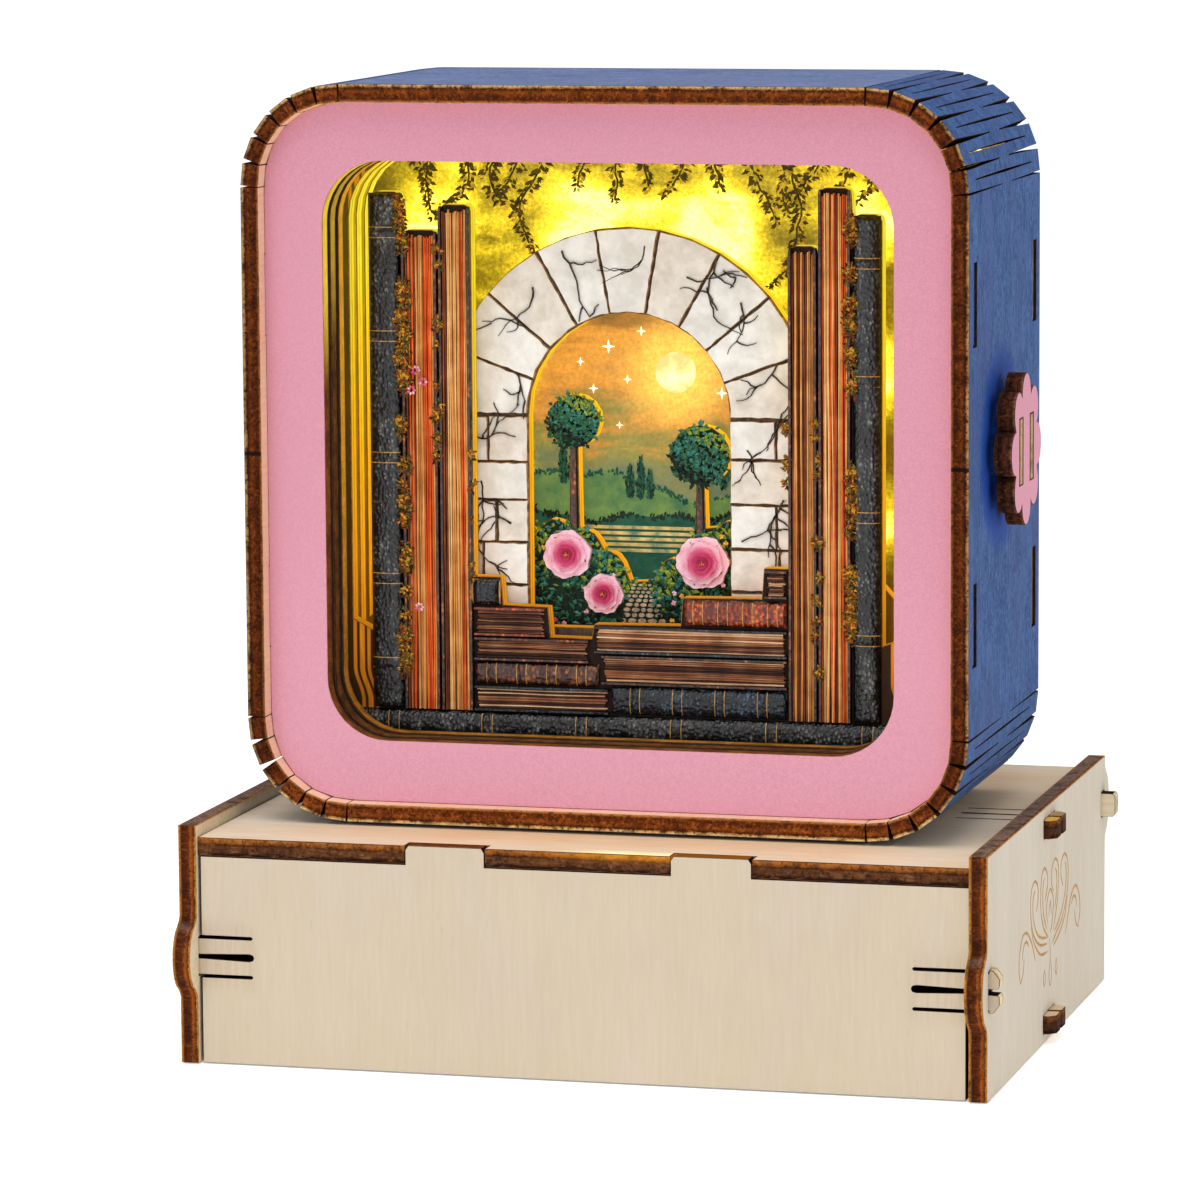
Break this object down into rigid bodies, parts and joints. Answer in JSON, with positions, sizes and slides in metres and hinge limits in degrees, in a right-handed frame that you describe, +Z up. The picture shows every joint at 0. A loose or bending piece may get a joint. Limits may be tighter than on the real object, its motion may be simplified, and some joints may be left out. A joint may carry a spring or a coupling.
{
  "type": "wooden shadow-box night light",
  "caption": "Square plywood shadow-box night light with kerf-bent rounded corners and layered picture boards, on a low clip-together base box, with a flower knob on the side.",
  "frame": {"origin": "middle of the footprint, on the surface that the base stands on", "axes": "+X to the knob side, +Y to the back of the lamp (the picture faces -Y), +Z up"},
  "size_m": [0.1378, 0.1096, 0.1576],
  "materials": {
    "ply_natural": "raw basswood plywood, laser-burnt edges",
    "ply_blue": "plywood with matt blue paint, laser-burnt edges",
    "ply_pink": "plywood with matt pink paint, laser-burnt edges",
    "ply_burnt": "plywood, laser-burnt edges",
    "printed_books": "plywood printed with closed books",
    "printed_stone": "plywood printed with pale stone",
    "printed_garden": "plywood printed with leaves",
    "printed_blossom": "plywood printed pink",
    "diffuser_sheet": "lit opal sheet with a printed sky",
    "led_board": "white solder resist",
    "white_nylon": "moulded",
    "black_plastic": "moulded",
    "cell_sleeve": "printed sleeve, plain",
    "spring_steel": "nickel plated",
    "zinc_steel": "zinc plated",
    "brass": "turned",
    "lead_red": "insulation",
    "lead_black": "insulation"
  },
  "bodies": {
    "lamp": {"back_panel": "ply_blue", "base_back_panel": "ply_natural", "base_bottom_board": "ply_natural", "base_front_panel": "ply_natural", "base_left_side": "ply_natural", "base_right_side": "ply_natural", "base_top_board": "ply_natural", "battery_cell_1": "cell_sleeve", "battery_cell_2": "cell_sleeve", "battery_cell_3": "cell_sleeve", "battery_holder": "black_plastic", "battery_lead_black": "lead_black", "battery_lead_red": "lead_red", "blossom_left": "printed_blossom", "blossom_middle": "printed_blossom", "blossom_right": "printed_blossom", "contact_bridge_left": "spring_steel", "contact_bridge_right": "spring_steel", "contact_negative": "spring_steel", "contact_positive": "spring_steel", "diffuser": "diffuser_sheet", "dimmer_body": "black_plastic", "dimmer_bracket": "ply_natural", "dimmer_nut": "zinc_steel", "front_frame": "ply_pink", "holder_screw_left": "zinc_steel", "holder_screw_right": "zinc_steel", "inner_frame_1": "ply_burnt", "inner_frame_2": "ply_burnt", "joining_nut_lower": "brass", "joining_nut_upper": "brass", "joining_tube": "brass", "led_board": "led_board", "led_board_post_1": "white_nylon", "led_board_post_2": "white_nylon", "led_board_post_3": "white_nylon", "led_board_post_4": "white_nylon", "led_lead": "lead_red", "lower_wrap": "ply_blue", "picture_board_1": "printed_books", "picture_board_2": "printed_stone", "picture_board_3": "printed_garden", "rail_bottom_left": "ply_natural", "rail_bottom_right": "ply_natural", "rail_top_left": "ply_natural", "rail_top_right": "ply_natural", "spacer_washer": "zinc_steel", "upper_wrap": "ply_blue"},
    "knob": {"flower_knob": "ply_pink", "knob_tab_front": "ply_natural", "knob_tab_rear": "ply_natural", "knob_hub": "ply_natural", "dimmer_shaft": "zinc_steel"}
  },
  "joints": [
    {"name": "knob_turn", "type": "hinge", "parent": "lamp", "child": "knob", "pos_m": [0.0613, -0.009, 0.0984], "axis": [1, 0, 0], "range_deg": [-150, 150]}
  ]
}
